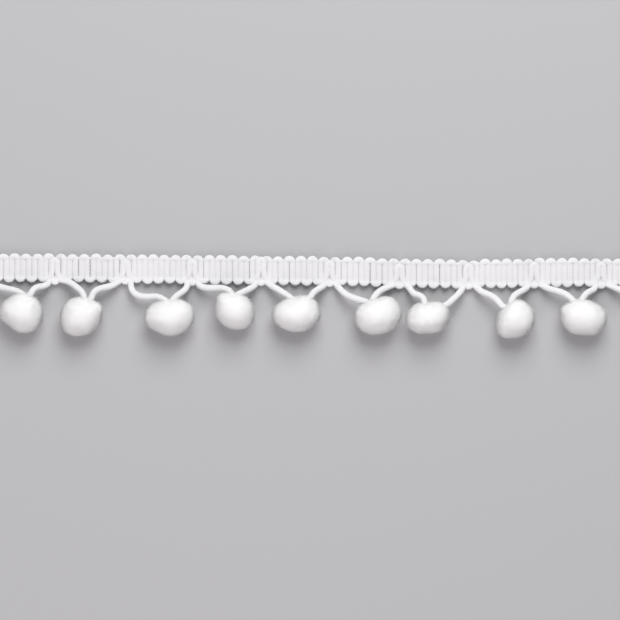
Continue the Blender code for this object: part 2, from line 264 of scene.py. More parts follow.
def smooth_route(points: Sequence[RoutePoint], step: float) -> list[RoutePoint]:
    """Lays a smooth curve through a route's points and sets new points on it at an even step.

    Args:
        points: The route's own points.
        step: Distance between the new points.

    Returns:
        The new points, from the first end to the last.
    """
    padded = [points[0], *points, points[-1]]
    fine: list[RoutePoint] = []
    for before, start, end, after in zip(padded, padded[1:], padded[2:], padded[3:]):
        count = max(2, math.ceil(math.dist(start[:3], end[:3]) / step) * FINER_STEPS)
        for index in range(count):
            fields = zip(before, start, end, after)
            fine.append(RoutePoint(*(smooth_between(four, index / count) for four in fields)))
    fine.append(points[-1])
    return even_route(fine, step)


def lengths_along(points: Sequence[RoutePoint]) -> list[float]:
    """Gives how far along its route each point is."""
    reached = [0.0]
    for start, end in zip(points, points[1:]):
        reached.append(reached[-1] + math.dist(start[:3], end[:3]))
    return reached


def even_route(points: Sequence[RoutePoint], step: float) -> list[RoutePoint]:
    """Sets new points along straight stretches at an even step.

    Args:
        points: The stretches' ends.
        step: Distance between the new points.

    Returns:
        The new points, both ends among them.
    """
    reached = lengths_along(points)
    count = max(2, round(reached[-1] / step))
    even: list[RoutePoint] = []
    index = 0
    for number in range(count + 1):
        goal = reached[-1] * number / count
        while index < len(points) - 2 and reached[index + 1] < goal:
            index += 1
        span = max(1e-9, reached[index + 1] - reached[index])
        share = min(1.0, (goal - reached[index]) / span)
        start, end = points[index], points[index + 1]
        even.append(RoutePoint(*(a + (b - a) * share for a, b in zip(start, end))))
    return even


def rounded_route(points: Sequence[RoutePoint], reach: int) -> list[RoutePoint]:
    """Rounds a route's corners by averaging each point with its neighbours.

    Args:
        points: The route's points, at an even step.
        reach: How many neighbours on each side count.

    Returns:
        The rounded route, with both ends where they were.
    """
    rounded = []
    for index in range(len(points)):
        near = min(reach, index, len(points) - 1 - index)
        window = points[index - near:index + near + 1]
        rounded.append(RoutePoint(*(sum(values) / len(window) for values in zip(*window))))
    return rounded


def add_object(name: str, data: bpy.types.ID) -> bpy.types.Object:
    """Puts a mesh, curve, light or camera into the scene as an object."""
    added = bpy.data.objects.new(name, data)
    bpy.context.scene.collection.objects.link(added)
    return added


def evaluated_mesh(holder: bpy.types.Object) -> bpy.types.Mesh:
    """Takes an object's mesh as Blender evaluates it, and removes the object.

    Args:
        holder: The object, with its curve or its modifiers.

    Returns:
        The mesh.
    """
    bpy.context.view_layer.update()
    finished = holder.evaluated_get(bpy.context.evaluated_depsgraph_get())
    mesh = bpy.data.meshes.new_from_object(finished)
    bpy.data.objects.remove(holder)
    return mesh


def mesh_from(bm: bmesh.types.BMesh, name: str) -> bpy.types.Mesh:
    """Turns a finished bmesh into a mesh."""
    mesh = bpy.data.meshes.new(name)
    bm.to_mesh(mesh)
    bm.free()
    return mesh


def bumps(place: Vector, sizes: Iterable[tuple[float, float]]) -> Vector:
    """Adds up soft bumps of yarn.

    Args:
        place: A place on the yarn.
        sizes: Height and fineness of each kind of bump.

    Returns:
        How far the place is moved.
    """
    return sum((height * noise.noise_vector(place * fine) for height, fine in sizes), Vector())


def squared_ring(width: float, height: float, sides: int, squareness: float) -> bpy.types.Object:
    """Draws a cord's section between an ellipse and a rectangle.

    Args:
        width: The section's width.
        height: Its height.
        sides: How many points it has.
        squareness: 0 for an ellipse, 1 for a rectangle.

    Returns:
        A closed flat curve.
    """
    curve = bpy.data.curves.new("section", "CURVE")
    curve.dimensions = "2D"
    ring = curve.splines.new("POLY")
    ring.points.add(sides - 1)
    ring.use_cyclic_u = True
    for index, point in enumerate(ring.points):
        turn = math.tau * (index + 0.5) / sides
        sides_of_turn = (math.cos(turn), math.sin(turn))
        across, up = (math.copysign(abs(v) ** (1 - squareness), v) for v in sides_of_turn)
        point.co = (across * width / 2, up * height / 2, 0.0, 1.0)
    return bpy.data.objects.new("section", curve)


def cord_mesh(
    name: str,
    routes: Iterable[Sequence[RoutePoint]],
    diameter: float,
    sides_step: int,
    section: bpy.types.Object | None = None,
) -> bpy.types.Mesh:
    """Makes cords along routes as a mesh with capped ends.

    Args:
        name: The mesh's name.
        routes: The points of each cord.
        diameter: A round cord's thickness.
        sides_step: Bevel resolution, which gives a round cord 4 sides and 2 more for each step.
        section: The section of a cord that isn't round.

    Returns:
        A mesh in millimetres, with a UV map that runs along and around each cord.
    """
    curve = bpy.data.curves.new(name, "CURVE")
    curve.dimensions = "3D"
    curve.twist_mode = "Z_UP"
    curve.bevel_depth = diameter / 2
    curve.bevel_resolution = sides_step
    curve.use_fill_caps = True
    if section:
        curve.bevel_mode = "OBJECT"
        curve.bevel_object = section
    for route in routes:
        spline = curve.splines.new("POLY")
        spline.points.add(len(route) - 1)
        for point, place in zip(spline.points, route):
            point.co = (place.x, place.y, place.z, 1.0)
            point.radius = place.girth
    mesh = evaluated_mesh(add_object(name, curve))
    bpy.data.curves.remove(curve)
    mesh.name = name
    return mesh


def move_points(mesh: bpy.types.Mesh, mover: Callable[[Vector], Vector]) -> None:
    """Moves each of a mesh's points.

    Args:
        mesh: The mesh to change.
        mover: Gives a point's new place from its old one.
    """
    for vert in mesh.vertices:
        vert.co = mover(vert.co)


def measure_uv(mesh: bpy.types.Mesh, route: Sequence[RoutePoint]) -> None:
    """Makes a cord's UV map run along it by its length, not by its rings.

    Args:
        mesh: The cord's mesh, with its UV map.
        route: The points that it was made from.
    """
    reached = lengths_along(route)
    for corner in mesh.uv_layers[0].data:
        ring = round(corner.uv.x * (len(route) - 1))
        corner.uv.x = reached[ring] / reached[-1]


def mark_light_shade_zone(mesh: bpy.types.Mesh, share: Callable[[Vector], float]) -> None:
    """Keeps on each of a mesh's points how far it belongs to the part with a colour of its own: painted
    light on a gimp cord's lobes, painted shade on a drop cord's loop.

    Args:
        mesh: The mesh.
        share: Gives a point's value, from 0 to 1.
    """
    values = [share(vert.co) for vert in mesh.vertices]
    mesh.attributes.new("zone", "FLOAT", "POINT").data.foreach_set("value", values)


def finish_piece(
    name: str, mesh: bpy.types.Mesh, material: bpy.types.Material, nodes: Sequence[str] = ()
) -> bpy.types.Object:
    """Brings a mesh in millimetres to its place in the frame and dresses it.

    Args:
        name: The piece's name.
        mesh: The finished mesh, in the tables' millimetres.
        material: Its finish.
        nodes: The CAD nodes that the piece takes the place of.

    Returns:
        The piece, riding on the frame.
    """
    mesh.transform(Matrix.Scale(MM, 4) @ Matrix.Translation(TABLES_TO_FRAME))
    mesh.shade_smooth()
    mesh.materials.clear()
    mesh.materials.append(material)
    piece = add_object(name, mesh)
    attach(piece, BODY)
    if nodes:
        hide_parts(*nodes)
    mesh.calc_loop_triangles()
    LOG.info("%s: %d triangles", name, len(mesh.loop_triangles))
    return piece


# Finishes


def node_group(
    name: str, inputs: dict[str, tuple[str, float]], outputs: dict[str, str]
) -> bpy.types.NodeTree:
    """Starts a shader node group with named sockets.

    Args:
        name: The group's name.
        inputs: Socket type and default of each input, by name.
        outputs: Socket type of each output, by name.

    Returns:
        The group, with its input and output nodes.
    """
    group = bpy.data.node_groups.new(name, "ShaderNodeTree")
    for label, (kind, default) in inputs.items():
        socket = group.interface.new_socket(name=label, in_out="INPUT", socket_type=kind)
        if kind == "NodeSocketFloat":
            socket.default_value = default
    for label, kind in outputs.items():
        group.interface.new_socket(name=label, in_out="OUTPUT", socket_type=kind)
    group.nodes.new("NodeGroupInput").name = "in"
    group.nodes.new("NodeGroupOutput").name = "out"
    return group


def add_node(
    tree: bpy.types.NodeTree, kind: str, inputs: dict[str | int, object], **settings: object
) -> bpy.types.Node:
    """Adds a node, sets it up and fills its inputs.

    Args:
        tree: The tree that gets it.
        kind: Blender's name for the node.
        inputs: A socket or a value for each input that is filled, by its name or number.
        settings: The node's own settings.

    Returns:
        The node.
    """
    node = tree.nodes.new(kind)
    for label, value in settings.items():
        setattr(node, label, value)
    for label, value in inputs.items():
        if isinstance(value, bpy.types.NodeSocket):
            tree.links.new(value, node.inputs[label])
        else:
            node.inputs[label].default_value = value
    return node


def math_node(
    tree: bpy.types.NodeTree, operation: str, first: object, second: object = 0.0
) -> bpy.types.NodeSocket:
    """Adds a Math node and gives its result. First and second are sockets or numbers."""
    return add_node(tree, "ShaderNodeMath", {0: first, 1: second}, operation=operation).outputs[0]


def attribute_value(tree: bpy.types.NodeTree, label: str) -> bpy.types.NodeSocket:
    """Reads a value that a piece's mesh keeps."""
    return add_node(tree, "ShaderNodeAttribute", {}, attribute_name=label).outputs["Fac"]


def colour_mix(
    tree: bpy.types.NodeTree, factor: bpy.types.NodeSocket, first: object, second: tuple[float, float, float]
) -> bpy.types.NodeSocket:
    """Mixes two colours.

    Args:
        tree: The tree that gets the node.
        factor: How much of the second colour there is.
        first: A colour or a colour's socket.
        second: A colour.

    Returns:
        The mixed colour.
    """
    start, end, result = COLOUR_MIX
    base = first if isinstance(first, bpy.types.NodeSocket) else (*first, 1.0)
    inputs = {0: factor, start: base, end: (*second, 1.0)}
    return add_node(tree, "ShaderNodeMix", inputs, data_type="RGBA").outputs[result]


def soft_fibres_group() -> bpy.types.NodeTree:
    """Builds the group that mottles a soft yarn with fine fibres and paints shade in the dips of their
    relief.

    Returns:
        A group that turns a place into a tone from 0 to 1, partly uneven patches and partly painted shade
        that is lower in the dips of the fine relief, and that fine relief.
    """
    group = node_group(
        "soft_fibres",
        {
            "Place": ("NodeSocketVector", 0.0),
            "Fibre scale": ("NodeSocketFloat", 3000.0),
            "Patch scale": ("NodeSocketFloat", 500.0),
        },
        {"Tone": "NodeSocketFloat", "Relief": "NodeSocketFloat"},
    )
    start, end = group.nodes["in"], group.nodes["out"]
    found = []
    for label, detail in (("Fibre scale", 3.0), ("Patch scale", 2.0)):
        inputs = {"Detail": detail, "Vector": start.outputs["Place"], "Scale": start.outputs[label]}
        found.append(add_node(group, "ShaderNodeTexNoise", inputs).outputs["Fac"])
    fine, patch = found
    # Painted shade: part of the tone is the fine relief's own height, so its dips are darker
    parts = [math_node(group, "MULTIPLY", *part) for part in ((fine, FINE_PART), (patch, 1 - FINE_PART))]
    tone = math_node(group, "ADD", *parts)
    group.links.new(tone, end.inputs["Tone"])
    group.links.new(fine, end.inputs["Relief"])
    return group


def wrapped_yarn_group() -> bpy.types.NodeTree:
    """Builds the group for the fine turns of yarn that wrap a cord.

    Returns:
        A group that turns a cord's UV into the relief of slanting turns.
    """
    group = node_group(
        "wrapped_yarn",
        {
            "Cord UV": ("NodeSocketVector", 0.0),
            "Turns": ("NodeSocketFloat", 100.0),
            "Starts": ("NodeSocketFloat", 1.0),
        },
        {"Turn": "NodeSocketFloat"},
    )
    start, end = group.nodes["in"], group.nodes["out"]
    split = add_node(group, "ShaderNodeSeparateXYZ", {0: start.outputs["Cord UV"]})
    along = math_node(group, "MULTIPLY", split.outputs["X"], start.outputs["Turns"])
    around = math_node(group, "MULTIPLY", split.outputs["Y"], start.outputs["Starts"])
    angle = math_node(group, "MULTIPLY", math_node(group, "ADD", along, around), math.pi)
    turn = math_node(group, "ABSOLUTE", math_node(group, "SINE", angle))
    group.links.new(turn, end.inputs["Turn"])
    return group


@dataclass(frozen=True)
class YarnFinish:
    """A soft white yarn.

    Attributes:
        name: The material's name.
        light: Colour of the yarn's lighter patches and raised fibres, painted light where it follows their
            relief.
        shade: Colour of its darker patches and, as painted shade, of the dips where its fibres lie deeper.
        roughness: How matt it is.
        sheen: Weight of the soft glow at its edges.
        fibre_scale: How fine the fibres are, in repeats a metre.
        patch_scale: How fine the uneven patches are, in repeats a metre.
        relief_mm: Height of the fibres' relief.
        turns: Turns of wrapping yarn along the whole cord, or 0.
        turn_mm: Height of a turn's relief.
        zone: Colour of the part that the mesh marks, which is painted light on a gimp cord's lobes
        and painted shade on a drop cord's loop on the heading.
        pile: Whether it is pile, whose strands get painted shade towards their roots.
        sheen_roughness: How widely the glow spreads.
        specular: How much it shines.
        bump_strength: How strongly the relief shows.
        turn_dip_shade: Tone in the dip between two turns of wrapping yarn, painted shade in that groove.
        pile_shade_tones: Tone of a strand's root, darker as painted shade, and what its tip and its own
            random tone add to it.
    """

    name: str
    light: tuple[float, float, float]
    shade: tuple[float, float, float]
    roughness: float
    sheen: float
    fibre_scale: float
    patch_scale: float
    relief_mm: float
    turns: float = 0.0
    turn_mm: float = 0.0
    zone: tuple[float, float, float] | None = None
    pile: bool = False
    sheen_roughness: float = 0.6
    specular: float = 0.15
    bump_strength: float = 0.6
    turn_dip_shade: float = 0.4
    pile_shade_tones: tuple[float, float, float] = (0.4, 0.4, 0.2)

    def material(self, fibres: bpy.types.NodeTree, wraps: bpy.types.NodeTree) -> bpy.types.Material:
        """Builds the material.

        Args:
            fibres: The soft fibres group.
            wraps: The wrapped yarn group.

        Returns:
            The finished material.
        """
        material = bpy.data.materials.new(self.name)
        material.use_nodes = True
        tree = material.node_tree
        shader = tree.nodes["Principled BSDF"]
        for label, value in (
            ("Roughness", self.roughness),
            ("Sheen Weight", self.sheen),
            ("Sheen Roughness", self.sheen_roughness),
            ("Specular IOR Level", self.specular),
        ):
            shader.inputs[label].default_value = value
        places = tree.nodes.new("ShaderNodeTexCoord")
        inputs = {
            "Fibre scale": self.fibre_scale,
            "Patch scale": self.patch_scale,
            "Place": places.outputs["Object"],
        }
        yarn = add_node(tree, "ShaderNodeGroup", inputs, node_tree=fibres)
        height = math_node(tree, "MULTIPLY", yarn.outputs["Relief"], self.relief_mm * MM)
        tone = yarn.outputs["Tone"]
        if self.turns:
            inputs = {"Turns": self.turns, "Cord UV": places.outputs["UV"]}
            turn = add_node(tree, "ShaderNodeGroup", inputs, node_tree=wraps).outputs["Turn"]
            height = math_node(tree, "ADD", height, math_node(tree, "MULTIPLY", turn, self.turn_mm * MM))
            # Painted shade: the colour is darker in the dips between the turns of wrapping yarn
            tone = math_node(tree, "MULTIPLY", tone, math_node(tree, "ADD", turn, self.turn_dip_shade))
        if self.pile:
            # Painted shade: each strand darkens towards its root, deep in the pile, and its own random tone
            # comes on top
            along, own = (attribute_value(tree, label) for label in ("along", "strand_tone"))
            root, tip, own_spread = self.pile_shade_tones
            depth = math_node(tree, "ADD", math_node(tree, "MULTIPLY", along, tip), root)
            tone = math_node(tree, "ADD", depth, math_node(tree, "MULTIPLY", own, own_spread))
        colour = colour_mix(tree, tone, self.shade, self.light)
        # The marked part gets a colour of its own: painted light on a gimp cord's lobes, painted shade on a
        # drop cord's loop on the heading
        if self.zone:
            colour = colour_mix(tree, attribute_value(tree, "zone"), colour, self.zone)
        tree.links.new(colour, shader.inputs["Base Color"])
        inputs = {"Strength": self.bump_strength, "Distance": 1.0, "Height": height}
        bump = add_node(tree, "ShaderNodeBump", inputs)
        tree.links.new(bump.outputs["Normal"], shader.inputs["Normal"])
        return material


# The heading


@dataclass
class GimpHeading:
    """The gimp cord laid up and down in close flat loops.

    Attributes:
        width: Width of the whole heading.
        cord_width: Width of the cord in a run.
        cord_height: Height of the cord in a run.
        squareness: How far the cord's section is pressed square by its neighbours.
        pressed_height: Height of the cord under a drop cord's loop.
        pressed_reach: How far the pressing reaches along the trim.
        free_edge: How far in from the lower edge the cord isn't pressed.
        pitch: Length of a loop past the last drop cords.
        loops: Gimp loops from one drop cord to the next.
        end_loops: Gimp loops past the last drop cords.
        lobe_swell: Girth of the cord at a lobe's crest, as a share of its girth in a run.
        lobe_rise: How much higher the cord is at a lobe's crest, as a share of its height.
        below_drop: How much further the lobe under a drop cord hangs down.
        run_step: Distance between the rings of a run.
        turn_steps: How many steps a lobe's turn is made of.
        unevenness: How far a run lies off its place at most.
        lobe_unevenness: How far a lobe reaches past its place at most.
        lift_reach: How far along the trim the lobes stand higher beside a drop cord.
        pressed_start: Where the pressing starts, as a share of the free edge.
        puffs: Height and fineness of the yarn's soft bumps.
        lobe_zone: How far in from the edge a lobe reaches.
        section_sides: How many sides the cord's section has.
        yarn_turn: Length of cord that one turn of its wrapping yarn covers.
    """

    width: float = 8.1
    cord_width: float = 1.7
    cord_height: float = 1.6
    squareness: float = 0.6
    pressed_height: float = 0.85
    pressed_reach: float = 1.75
    free_edge: float = 2.2
    pitch: float = 3.2
    loops: int = 6
    end_loops: int = 2
    lobe_swell: float = 1.08
    lobe_rise: float = 0.12
    below_drop: float = 0.4
    run_step: float = 0.5
    turn_steps: int = 16
    unevenness: float = 0.1
    lobe_unevenness: float = 0.15
    lift_reach: float = 2.2
    pressed_start: float = 0.6
    puffs: tuple[tuple[float, float], ...] = ((0.04, 1.1), (0.02, 3.1))
    lobe_zone: float = 1.9
    section_sides: int = 12
    yarn_turn: float = 0.45

    def turns(self) -> float:
        """Counts the turns of wrapping yarn along the whole cord."""
        return lengths_along(self.route())[-1] / self.yarn_turn

    def lobes(self) -> list[float]:
        """Gives the x of every lobe, lower and upper ones in turn, as the solids have them."""
        first, last = DROP_ROWS[0].loop_x, DROP_ROWS[-1].loop_x
        lower = [first - count * self.pitch for count in range(self.end_loops, 0, -1)]
        for row, following in zip(DROP_ROWS, DROP_ROWS[1:]):
            pitch = (following.loop_x - row.loop_x) / self.loops
            lower.extend(row.loop_x + count * pitch for count in range(self.loops))
        lower.extend(last + count * self.pitch for count in range(self.end_loops + 1))
        places: list[float] = []
        for place, following_place in zip(lower, lower[1:]):
            places.extend((place, (place + following_place) / 2))
        return places + lower[-1:]

    def route(self) -> list[RoutePoint]:
        """Lays the cord up a run, round a lobe and down the next run.

        Returns:
            Points along the whole cord, at half its height.
        """
        uneven = random.Random(SEED)
        lobes = self.lobes()
        off = self.unevenness
        runs = [(a + b) / 2 + uneven.uniform(-off, off) for a, b in zip(lobes, lobes[1:])]
        half = (self.width - self.cord_width) / 2
        z = self.cord_height / 2
        points = [RoutePoint(runs[0], heading_middle(runs[0]) - half, z, 1.0)]
        for index, (run, following) in enumerate(zip(runs, runs[1:])):
            edge = Edge.UPPER if index % 2 == 0 else Edge.LOWER
            middle_x, radius = (run + following) / 2, (following - run) / 2
            reach = half - radius + uneven.uniform(-self.lobe_unevenness, self.lobe_unevenness)
            distance, drop = nearest_drop(lobes[index + 1])
            if edge is Edge.UPPER:
                reach += drop.lobe_lift * math.exp(-((distance / self.lift_reach) ** 2))
            elif distance < SAME_PLACE:
                reach += self.below_drop
            middle_y = heading_middle(middle_x) + edge.value * reach
            lobe = []
            for step in range(self.turn_steps + 1):
                turn = math.pi * step / self.turn_steps
                x = middle_x - radius * math.cos(turn)
                y = middle_y + edge.value * radius * math.sin(turn)
                lobe.append(RoutePoint(x, y, z, 1 + (self.lobe_swell - 1) * math.sin(turn)))
            points = points[:-1] + even_route([points[-1], lobe[0]], self.run_step) + lobe[1:]
        edge = Edge.UPPER if len(runs) % 2 else Edge.LOWER
        last = RoutePoint(runs[-1], heading_middle(runs[-1]) + edge.value * half, z, 1.0)
        return points[:-1] + even_route([points[-1], last], self.run_step)

    def height_at(self, x: float, y: float) -> float:
        """Gives the cord's height at a place, which is less under a drop cord's loop."""
        pressed = math.exp(-((nearest_drop(x)[0] / self.pressed_reach) ** 4))
        inside = y - heading_middle(x) + self.width / 2
        pressed *= eased(inside / self.free_edge - self.pressed_start)
        return self.cord_height - (self.cord_height - self.pressed_height) * pressed

    def settle(self, place: Vector) -> Vector:
        """Presses a point of the cord to its height there and makes the yarn a little uneven."""
        level = place.z / self.cord_height * (1 + self.lobe_rise * self.lobe_share(place))
        settled = Vector((place.x, place.y, level * self.height_at(place.x, place.y)))
        settled += bumps(place, self.puffs)
        settled.z = max(0.0, settled.z)
        return settled

    def lobe_share(self, place: Vector) -> float:
        """Gives how far a point is in a lobe."""
        from_edge = self.width / 2 - abs(place.y - heading_middle(place.x))
        return eased(self.lobe_zone - from_edge)

    def build(self, material: bpy.types.Material) -> bpy.types.Object:
        """Makes the cord and dresses it."""
        section = squared_ring(self.cord_width, self.cord_height, self.section_sides, self.squareness)
        route = self.route()
        mesh = cord_mesh("gimp_cord", [route], self.cord_width, 0, section)
        measure_uv(mesh, route)
        move_points(mesh, self.settle)
        # Painted light: the lobes get a lighter colour than the runs
        mark_light_shade_zone(mesh, self.lobe_share)
        return finish_piece("gimp_cord", mesh, material, ["heading"])


@dataclass
class GroundThreads:
    """The fine stitched threads that hold the gimp's loops side by side.

    Attributes:
        heading: The heading that they hold.
        thread: Thickness of a thread.
        edge_thread: Thickness of the chain along each edge.
        edge_inset: How far inside the heading's edge the chain runs.
        rows: Places of the inner threads across the heading, from its middle line.
        level: Height of the inner threads in the gaps between runs.
        unevenness: How far a thread strays across the heading at most.
        chain_level: Height of the chain's upper side, as a share of the cord's height.
        chain_swing: How much further out the chain runs on a lobe.
        inner_step: Distance between an inner thread's rings.
        edge_step: Distance between the chain's rings.
        seeds_a_mm: How many seeds the rows of a millimetre have.
    """

    heading: GimpHeading
    thread: float = 0.3
    edge_thread: float = 0.7
    edge_inset: float = 1.22
    rows: tuple[float, ...] = (-2.0, -1.0, 0.1, 1.1, 2.1)
    level: float = 0.85
    unevenness: float = 0.12
    chain_level: float = 0.85
    chain_swing: float = 0.25
    inner_step: float = 0.8
    edge_step: float = 0.3
    seeds_a_mm: int = 10

    def inner_routes(self) -> list[list[RoutePoint]]:
        """Lays the inner threads, which show only in the gaps between runs."""
        lobes = self.heading.lobes()
        routes = []
        for row in self.rows:
            uneven = random.Random(SEED + round(row * self.seeds_a_mm))
            points = []
            for place in lobes:
                y = heading_middle(place) + row + uneven.uniform(-self.unevenness, self.unevenness)
                share = self.heading.height_at(place, y) / self.heading.cord_height
                points.append(RoutePoint(place, y, self.level * share, 1.0))
            routes.append(smooth_route(points, self.inner_step))
        return routes

    def edge_routes(self) -> list[list[RoutePoint]]:
        """Lays the chain along each edge, over the lobes and down into the dips between them."""
        lobes = self.heading.lobes()
        routes = []
        for edge in Edge:
            own = lobes[1::2] if edge is Edge.UPPER else lobes[2:-1:2]
            points = []
            for place, following in zip(own, own[1:]):
                for x, swing in ((place, self.chain_swing), ((place + following) / 2, 0.0)):
                    inset = self.edge_inset - swing
                    y = heading_middle(x) + edge.value * (self.heading.width / 2 - inset)
                    z = self.heading.height_at(x, y) * self.chain_level - self.edge_thread / 2
                    points.append(RoutePoint(x, y, z, 1.0))
            routes.append(smooth_route(points, self.edge_step))
        return routes

    def build(self, material: bpy.types.Material) -> None:
        """Makes the threads and dresses them."""
        inner = cord_mesh("inner_threads", self.inner_routes(), self.thread, 1)
        finish_piece("inner_threads", inner, material)
        edges = cord_mesh("edge_chains", self.edge_routes(), self.edge_thread, 2)
        finish_piece("edge_chains", edges, material)


# The drop cords


@dataclass
class DropCord:
    """The soft cord that hangs from the heading in loops and carries the pompoms.

    Attributes:
        heading: The heading that it lies on.
        diameter: Its thickness where it hangs free.
        leg_share: Its girth on the heading, as a share of that.
        leg_gap: Distance between the legs of its loop at the crest.
        feet_apart: Distance between the legs' feet.
        leg_bow: How late on their way down the legs part, as a power of the share of the way.
        leg_level: Height of the legs' middle.
        leg_flatness: How far the legs are pressed flat.
        foot_inset: How far above the heading's lower edge the legs begin.
        height_at_pompom: Height at which it goes into a pompom.
        rise: How early in an arm the cord rises, as a power of its share of the way.
        drawn: How far an arm's end is drawn to the end of the pompom's other arm.
        drawn_within: Distance between two ends past which they stay where they are.
        tie_depth: How far in a pompom's tie lies, as a share of the way to its middle.
        cut_lean: How far out a cut end lies from the leg's foot.
        step: Distance between the cord's rings.
        rounding: How many rings to each side a corner is rounded over.
        leg_steps: How many steps a leg is made of.
        bend_steps: How many steps the bend at the crest is made of.
        bumps: Height and fineness of the cord's soft bumps.
        loop_shade_start: How far in from the heading's edge the loop's own colour begins.
        loop_shade_depth: How far it takes to reach it in full.
        sides_step: Bevel resolution of the cord's section.
    """

    heading: GimpHeading
    diameter: float = 1.75
    leg_share: float = 0.98
    leg_gap: float = 1.55
    feet_apart: float = 3.0
    leg_bow: float = 4.0
    leg_level: float = 1.35
    leg_flatness: float = 0.45
    foot_inset: float = 1.0
    height_at_pompom: float = 5.3
    rise: float = 0.85
    drawn: float = 0.5
    drawn_within: float = 4.0
    tie_depth: float = 0.35
    cut_lean: float = 0.4
    step: float = 0.14
    rounding: int = 4
    leg_steps: int = 8
    bend_steps: int = 6
    bumps: tuple[tuple[float, float], ...] = ((0.07, 1.6), (0.03, 4.6))
    # loop_shade_start: How far in from the heading's edge the loop's darker colour, painted shade, begins.
    loop_shade_start: float = 0.2
    loop_shade_depth: float = 1.4
    sides_step: int = 6

    def legs(self, row: DropRow) -> list[RoutePoint]:
        """Lays the narrow loop on the heading, from the foot of its left leg to its right one."""
        radius = self.leg_gap / 2
        middle = heading_middle(row.loop_x)
        half = self.heading.width / 2
        foot = middle - half + self.foot_inset
        crest = middle + half - row.crest_inset - radius - self.diameter * self.leg_share / 2
        rises = [foot + (crest - foot) * step / self.leg_steps for step in range(self.leg_steps)]
        spread = self.feet_apart / 2 - radius
        leg = [(-radius - spread * ((crest - y) / (crest - foot)) ** self.leg_bow, y) for y in rises]
        turns = [math.pi * step / self.bend_steps for step in range(self.bend_steps + 1)]
        bend = [(-radius * math.cos(turn), crest + radius * math.sin(turn)) for turn in turns]
        places = leg + bend + [(-x, y) for x, y in reversed(leg)]
        return [RoutePoint(row.loop_x + x, y, self.leg_level, self.leg_share) for x, y in places]

    def tie(self, number: int) -> tuple[Vector, Vector, Vector]:
        """Draws together the ends of a pompom's two arms, which go into one tie.

        Args:
            number: The pompom's row in the table.

        Returns:
            The end of its left arm, the end of its right arm and the tie.
        """
        left = Vector(DROP_ROWS[number].to_right[-1])
        right = Vector(DROP_ROWS[number + 1].from_left[0])
        apart = right - left
        if apart.length < self.drawn_within:
            pull = apart.normalized() * min(self.drawn, (apart.length - self.diameter) / 2)
            left, right = left + pull, right - pull
        pompom = POMPOM_ROWS[number]
        return left, right, ((left + right) / 2).lerp(Vector((pompom.x, pompom.y)), self.tie_depth)

    def arm(self, foot: RoutePoint, points: Sequence[Sequence[float]]) -> list[RoutePoint]:
        """Lays an arm from a leg's foot into a pompom.

        Args:
            foot: The leg's foot.
            points: What the arm passes, from the leg on, with the pompom's tie as the last.

        Returns:
            The arm's points, without the foot.
        """
        way = [foot[:2], *points]
        lengths = [math.dist(a, b) for a, b in zip(way, way[1:])]
        outside = sum(lengths[:-1])
        laid: list[RoutePoint] = []
        gone = 0.0
        for (x, y), length in zip(points, lengths):
            gone += length
            rise = min(1.0, gone / outside) ** self.rise
            laid.append(RoutePoint(x, y, foot.z + (self.height_at_pompom - foot.z) * rise, 1.0))
        return laid

    def route(self, number: int) -> list[RoutePoint]:
        """Lays a whole cord from one pompom to the next. A cut end stops at the heading's edge.

        Args:
            number: The cord's row in the table.

        Returns:
            Its points, at an even step.
        """
        row = DROP_ROWS[number]
        legs = self.legs(row)
        cut_y = heading_middle(row.loop_x) - self.heading.width / 2
        before = [legs[0]._replace(x=legs[0].x - self.cut_lean, y=cut_y)]
        after = [legs[-1]._replace(x=legs[-1].x + self.cut_lean, y=cut_y)]
        if row.from_left:
            _, end, tie = self.tie(number - 1)
            before = self.arm(legs[0], [*row.from_left[:0:-1], end, tie])[::-1]
        if row.to_right:
            end, _, tie = self.tie(number)
            after = self.arm(legs[-1], [*row.to_right[:-1], end, tie])
        return rounded_route(smooth_route(before + legs + after, self.step), self.rounding)

    def fluff(self, place: Vector) -> Vector:
        """Presses the legs flat and makes the cord's soft surface a little bumpy."""
        inside = place.y - heading_middle(place.x) + self.heading.width / 2
        pressed = self.leg_flatness * eased(inside / self.foot_inset)
        flat = Vector((0, 0, (self.leg_level - place.z) * pressed))
        return place + flat + bumps(place, self.bumps)

    def loop_shade_share(self, place: Vector) -> float:
        """Gives how far a point is in the loop on the heading, which is coloured darker as painted shade."""
        inside = place.y - heading_middle(place.x) + self.heading.width / 2
        return eased((inside - self.loop_shade_start) / self.loop_shade_depth)

    def build(self, material: bpy.types.Material) -> None:
        """Makes every drop cord and dresses it."""
        for number in range(len(DROP_ROWS)):
            name = f"drop_yarn_{number + 1:02d}"
            mesh = cord_mesh(name, [self.route(number)], self.diameter, self.sides_step)
            move_points(mesh, self.fluff)
            # Painted shade: the loop on the heading gets a darker colour than the hanging yarn
            mark_light_shade_zone(mesh, self.loop_shade_share)
            finish_piece(name, mesh, material, [f"drop_cord_{number + 1:02d}"])


# The pompoms


